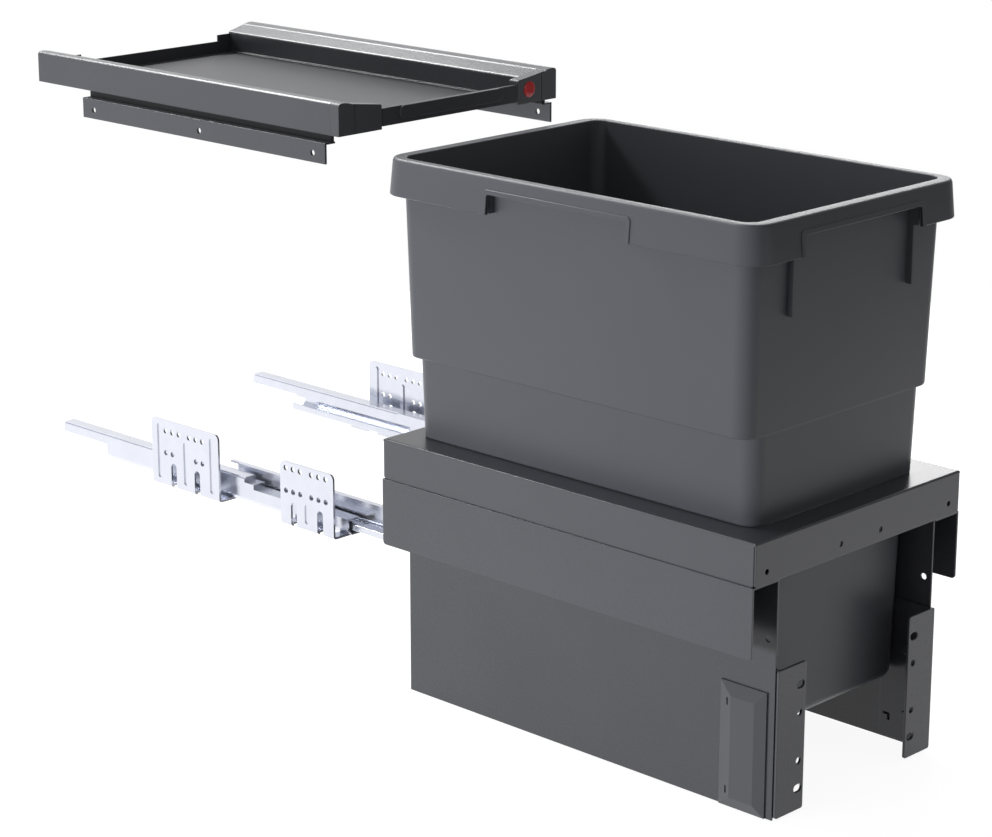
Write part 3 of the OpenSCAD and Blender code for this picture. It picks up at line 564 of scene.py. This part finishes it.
def make_disc():
    """The plain red disc on the right end cap, with a rounded edge and a low dome."""
    low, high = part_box("end_cap_disc")
    middle_x = (low.x + high.x) / 2
    middle_z = (low.z + high.z) / 2
    radius = (high.x - low.x) / 2
    depth = high.y - low.y

    def disc_ring(r, y):
        return [(x, y, z) for x, z in arc(middle_x, middle_z, r, 0, 360, DISC_STEPS)[:-1]]

    shoulder_y = high.y - depth * (1 - DOME_SHARE) + DISC_EDGE / 2
    rings = [disc_ring(radius, high.y), disc_ring(radius, shoulder_y)]
    for i in range(DOME_RINGS + 1):
        share = i / DOME_RINGS
        r = between(radius - DISC_EDGE, DOME_TIP_R, share)
        rings.append(disc_ring(r, low.y + depth * DOME_SHARE * (1 - share) ** 2))
    piece = loft("red_disc", rings)
    smooth(piece, DISC_SMOOTH_ANGLE)
    piece.data.materials.append(SLOTS["red_plastic"])
    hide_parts("end_cap_disc")
    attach(piece, "cover_shelf")


make_disc()


def make_camera():
    """The camera at the photograph's place and angle, without roll."""
    data = bpy.data.cameras.new("camera")
    data.lens = CAMERA_LENS
    data.sensor_width = SENSOR_WIDTH
    data.clip_start = CLIP_START
    data.clip_end = CLIP_END
    camera = new_object("camera", data)
    flat = math.cos(CAMERA_ELEVATION)
    back = Vector((math.sin(CAMERA_AZIMUTH) * flat,
                   -math.cos(CAMERA_AZIMUTH) * flat,
                   math.sin(CAMERA_ELEVATION)))
    camera.rotation_mode = "QUATERNION"
    camera.rotation_quaternion = (-back).to_track_quat("-Z", "Y")
    camera.location = CAMERA_PLACE
    bpy.context.scene.camera = camera


make_camera()

# Lamps: the point that most of them aim at, and how far the ones at the back stand from it
MIDDLE = (0.0, -0.2, 0.1)
BACK_DISTANCE = 4.0


def area_light(name, place, aim, size, power, mirrored=True):
    """A soft lamp; one that isn't mirrored lights the object without a glare on bright metal."""
    data = bpy.data.lights.new(name, "AREA")
    data.shape = "RECTANGLE"
    data.size, data.size_y = size
    data.energy = power
    light = new_object(name, data)
    light.location = place
    light.visible_glossy = mirrored
    light.rotation_mode = "QUATERNION"
    light.rotation_quaternion = (Vector(aim) - Vector(place)).to_track_quat("-Z", "Y")


def at_back(heading, rise):
    """A place at the back, at a heading from +Y towards +X and an angle of rise, in degrees."""
    angle = math.radians(heading)
    flat = BACK_DISTANCE * math.cos(math.radians(rise))
    return (MIDDLE[0] + flat * math.sin(angle),
            MIDDLE[1] + flat * math.cos(angle),
            MIDDLE[2] + BACK_DISTANCE * math.sin(math.radians(rise)))


area_light("key", place=(-2.5, 0.4, 0.09), aim=(0.0, -0.15, 0.09), size=(1.5, 0.48), power=45.0,
           mirrored=False)
area_light("front_fill", place=(0.9, -3.2, 0.4), aim=MIDDLE, size=(1.6, 1.0), power=4.1)
area_light("back_high", place=at_back(5, 42), aim=MIDDLE, size=(3.2, 0.65), power=142.0)
area_light("back_glint", place=at_back(56, 17), aim=MIDDLE, size=(1.0, 0.7), power=13.5)

# The world: its strength as light, and the white that a mirror finds at the room's front and back
WORLD_LIGHT = 0.15
ROOM_BACK = (-0.35, 0.94, 0.0)
FRONT_WHITE = 0.2
BACK_WHITE = 1.0
GRADE_START = -0.8
GRADE_END = 0.3


def seen_rays(tree):
    """1 for rays from the camera, a mirror or through glass, and 0 for light."""
    path = tree.nodes.new("ShaderNodeLightPath")
    total = path.outputs["Is Camera Ray"]
    for kind in ("Is Glossy Ray", "Is Transmission Ray"):
        pick = tree.nodes.new("ShaderNodeMath")
        pick.operation = "MAXIMUM"
        tree.links.new(total, pick.inputs[0])
        tree.links.new(path.outputs[kind], pick.inputs[1])
        total = pick.outputs[0]
    return total


def choose(tree, factor, off, on):
    """A plain number where the factor is 0, and a linked value where it is 1."""
    node = tree.nodes.new("ShaderNodeMix")
    node.inputs["A"].default_value = off
    tree.links.new(factor, node.inputs["Factor"])
    tree.links.new(on, node.inputs["B"])
    return node.outputs["Result"]


def mirrored_room(tree):
    """1 for the camera and through glass; a mirror finds the room darker at the front than at the back."""
    coords = tree.nodes.new("ShaderNodeTexCoord")
    along = tree.nodes.new("ShaderNodeVectorMath")
    along.operation = "DOT_PRODUCT"
    along.inputs[1].default_value = ROOM_BACK
    tree.links.new(coords.outputs["Generated"], along.inputs[0])
    graded = spread(tree, along.outputs["Value"], FRONT_WHITE, BACK_WHITE, GRADE_START, GRADE_END)
    path = tree.nodes.new("ShaderNodeLightPath")
    return choose(tree, path.outputs["Is Glossy Ray"], off=1.0, on=graded)


def make_world():
    """White where it is seen, graded where it is mirrored, and a softer grey as light."""
    world = bpy.data.worlds.new("world")
    bpy.context.scene.world = world
    world.use_nodes = True
    tree = world.node_tree
    background = tree.nodes["Background"]
    background.inputs["Color"].default_value = (1, 1, 1, 1)
    strength = choose(tree, seen_rays(tree), off=WORLD_LIGHT, on=mirrored_room(tree))
    tree.links.new(strength, background.inputs["Strength"])


make_world()

# The floor, just under the lowest piece
FLOOR_REACH = 1.5
FLOOR_STEPS = 96
FLOOR_DROP = 0.001
FLOOR_GREY = 0.35
FLOOR_ROUGHNESS = 0.9
FLOOR_WHITE = 0.92


def make_floor():
    """A pale round floor that keeps a faint shadow."""
    floor_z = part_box("adjuster_cover_left")[0].z - FLOOR_DROP
    outline = arc(MIDDLE[0], MIDDLE[1], FLOOR_REACH, 0, 360, FLOOR_STEPS)[:-1]
    mesh = bpy.data.meshes.new("floor")
    mesh.from_pydata([(x, y, floor_z) for x, y in outline], [], [tuple(range(FLOOR_STEPS))])
    floor = new_object("floor", mesh)
    mat, tree, shader = new_material("floor")
    shader.inputs["Base Color"].default_value = (FLOOR_GREY, FLOOR_GREY, FLOOR_GREY, 1)
    shader.inputs["Roughness"].default_value = FLOOR_ROUGHNESS
    shader.inputs["Emission Color"].default_value = (1, 1, 1, 1)
    white = spread(tree, seen_rays(tree), low=0.0, high=FLOOR_WHITE)
    tree.links.new(white, shader.inputs["Emission Strength"])
    mesh.materials.append(mat)


make_floor()
bpy.context.scene.view_settings.view_transform = "Standard"
